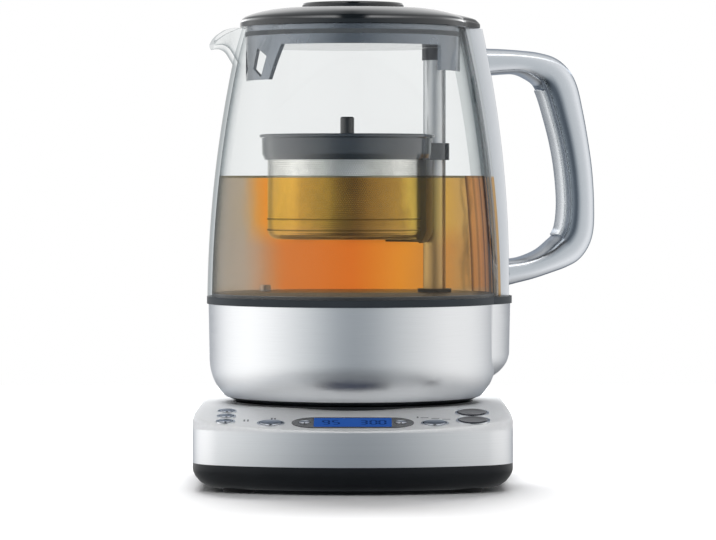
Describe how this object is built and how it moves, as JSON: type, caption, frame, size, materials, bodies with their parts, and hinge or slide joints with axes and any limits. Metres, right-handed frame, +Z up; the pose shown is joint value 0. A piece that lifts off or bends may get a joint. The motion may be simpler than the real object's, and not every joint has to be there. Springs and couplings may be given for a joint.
{
  "type": "automatic tea maker",
  "caption": "Cordless glass jug with steel foot, loop handle and a tea basket that a motor lifts on a post, on a base with push-button controls.",
  "frame": {"origin": "On the table plane, under the jug's vertical axis, at the middle of the base's hub face.", "axes": "+Z is up along the jug's axis. -Y points to the bowed front with the display and the buttons. +X is the user's right; the handle points 18 degrees behind +X."},
  "size_m": [0.2117, 0.196, 0.2527],
  "materials": {
    "feet": "soft rubber",
    "black_plastic": "satin black moulding",
    "brushed_band": "horizontally brushed",
    "housing_steel": "horizontally brushed",
    "deck_silver": "satin silver lacquer",
    "platform_plastic": "fine grain",
    "connector_plastic": "heat-resistant moulding",
    "contact_metal": "spring contact strip",
    "screw_steel": "plated steel",
    "circuit_board": "solder-masked board",
    "switch_plastic": "small switch bodies",
    "bezel_chrome": "polished",
    "button_silver": "bright plated",
    "button_slate": "gloss slate",
    "lens_dark": "gloss smoked window",
    "screen_blue": "back-lit liquid crystal",
    "jug_glass": "clear borosilicate",
    "slate_plastic": "gloss slate moulding",
    "stainless": "satin stainless",
    "aluminium_cast": "as cast",
    "element_steel": "heat-tinted sheath",
    "handle_silver": "satin silver lacquer",
    "inlay_grey": "soft grey",
    "spine_silver": "satin",
    "post_steel": "polished stainless",
    "seal_rubber": "silicone",
    "cap_grey": "satin grey",
    "motor_steel": "plated can",
    "magnet": "nickel plated",
    "basket_grey": "satin grey",
    "cradle_grey": "satin light grey",
    "mesh_steel": "etched, finely perforated",
    "knob_black": "gloss",
    "lid_slate": "gloss slate",
    "plug_grey": "satin grey"
  },
  "bodies": {
    "base": {"base_bottom_cover": "black_plastic", "base_feet": "feet", "base_screws": "screw_steel", "base_band": "brushed_band", "base_deck": "deck_silver", "base_platform": "platform_plastic", "base_connector": "connector_plastic", "connector_contacts": "contact_metal", "cord_gland": "feet", "main_board": "circuit_board", "button_board": "circuit_board", "tact_switches": "switch_plastic", "button_bezels": "bezel_chrome", "display_lens": "lens_dark", "display_screen": "screen_blue"},
    "earth_pin": {"earth_pin": "contact_metal"},
    "jug": {"jug_glass": "jug_glass", "jug_ring": "slate_plastic", "jug_housing": "housing_steel", "jug_floor": "stainless", "heat_spreader": "aluminium_cast", "heating_element": "element_steel", "temperature_sensor": "stainless", "jug_bottom_cover": "black_plastic", "jug_socket": "connector_plastic", "handle_shell": "handle_silver", "handle_inlay": "inlay_grey", "handle_screws": "screw_steel", "spine": "spine_silver", "spine_liner": "slate_plastic", "post_tube": "post_steel", "post_seal": "seal_rubber", "post_cap": "cap_grey", "lift_motor": "motor_steel"},
    "lift_screw": {"lift_screw": "screw_steel"},
    "magnet_carrier": {"magnet_carrier": "magnet"},
    "basket": {"basket_rim": "basket_grey", "basket_mesh": "mesh_steel", "basket_cradle": "cradle_grey", "basket_magnets": "magnet"},
    "basket_lid": {"basket_lid": "mesh_steel", "basket_knob": "knob_black"},
    "lid": {"lid_cap": "lid_slate", "lid_grip": "lid_slate", "lid_plug": "plug_grey", "lid_seal": "seal_rubber"},
    "button_keep_warm": {"button_keep_warm": "button_silver"},
    "button_temperature": {"button_temperature": "button_silver"},
    "button_time": {"button_time": "button_silver"},
    "button_basket": {"button_basket": "button_silver"},
    "button_strength": {"button_strength": "button_silver"},
    "button_down": {"button_down": "button_silver"},
    "button_up": {"button_up": "button_silver"},
    "button_water": {"button_water": "button_slate"},
    "button_tea": {"button_tea": "button_slate"}
  },
  "joints": [
    {"name": "jug_turn", "type": "hinge", "parent": "base", "child": "earth_pin", "pos_m": [0, 0, 0.045], "axis": [0, 0, 1], "continuous": true},
    {"name": "jug_lift", "type": "slide", "parent": "earth_pin", "child": "jug", "axis": [0, 0, 1], "range_m": [0, 0.08]},
    {"name": "lid_lift", "type": "slide", "parent": "jug", "child": "lid", "axis": [0, 0, 1], "range_m": [0, 0.08]},
    {"name": "basket_lift", "type": "slide", "parent": "jug", "child": "basket", "axis": [0, 0, 1], "range_m": [-0.022, 0.034]},
    {"name": "carrier_lift", "type": "slide", "parent": "jug", "child": "magnet_carrier", "axis": [0, 0, 1], "range_m": [-0.0225, 0.0345]},
    {"name": "screw_turn", "type": "hinge", "parent": "jug", "child": "lift_screw", "pos_m": [0.04346, 0.01412, 0.15], "axis": [0, 0, 1], "range_deg": [-1335, 2055]},
    {"name": "basket_lid_lift", "type": "slide", "parent": "basket", "child": "basket_lid", "axis": [0, 0, 1], "range_m": [0, 0.025]},
    {"name": "button_keep_warm_press", "type": "slide", "parent": "base", "child": "button_keep_warm", "axis": [0, 0.1537, -0.9881], "range_m": [0, 0.0008], "stiffness_N_per_m": 300, "springref_m": -0.001},
    {"name": "button_temperature_press", "type": "slide", "parent": "base", "child": "button_temperature", "axis": [0, 0.1537, -0.9881], "range_m": [0, 0.0008], "stiffness_N_per_m": 300, "springref_m": -0.001},
    {"name": "button_time_press", "type": "slide", "parent": "base", "child": "button_time", "axis": [0, 0.1537, -0.9881], "range_m": [0, 0.0008], "stiffness_N_per_m": 300, "springref_m": -0.001},
    {"name": "button_basket_press", "type": "slide", "parent": "base", "child": "button_basket", "axis": [0, 0.1537, -0.9881], "range_m": [0, 0.0008], "stiffness_N_per_m": 300, "springref_m": -0.001},
    {"name": "button_strength_press", "type": "slide", "parent": "base", "child": "button_strength", "axis": [0, 0.1537, -0.9881], "range_m": [0, 0.0008], "stiffness_N_per_m": 300, "springref_m": -0.001},
    {"name": "button_down_press", "type": "slide", "parent": "base", "child": "button_down", "axis": [0, 0.1537, -0.9881], "range_m": [0, 0.0008], "stiffness_N_per_m": 300, "springref_m": -0.001},
    {"name": "button_up_press", "type": "slide", "parent": "base", "child": "button_up", "axis": [0, 0.1537, -0.9881], "range_m": [0, 0.0008], "stiffness_N_per_m": 300, "springref_m": -0.001},
    {"name": "button_water_press", "type": "slide", "parent": "base", "child": "button_water", "axis": [0, 0.1537, -0.9881], "range_m": [0, 0.0008], "stiffness_N_per_m": 300, "springref_m": -0.001},
    {"name": "button_tea_press", "type": "slide", "parent": "base", "child": "button_tea", "axis": [0, 0.1537, -0.9881], "range_m": [0, 0.0008], "stiffness_N_per_m": 300, "springref_m": -0.001}
  ],
  "couplings": [
    {"joint": "carrier_lift", "follows": "basket_lift", "ratio": 1},
    {"joint": "screw_turn", "follows": "basket_lift", "rad_per_m": 1047.2}
  ]
}
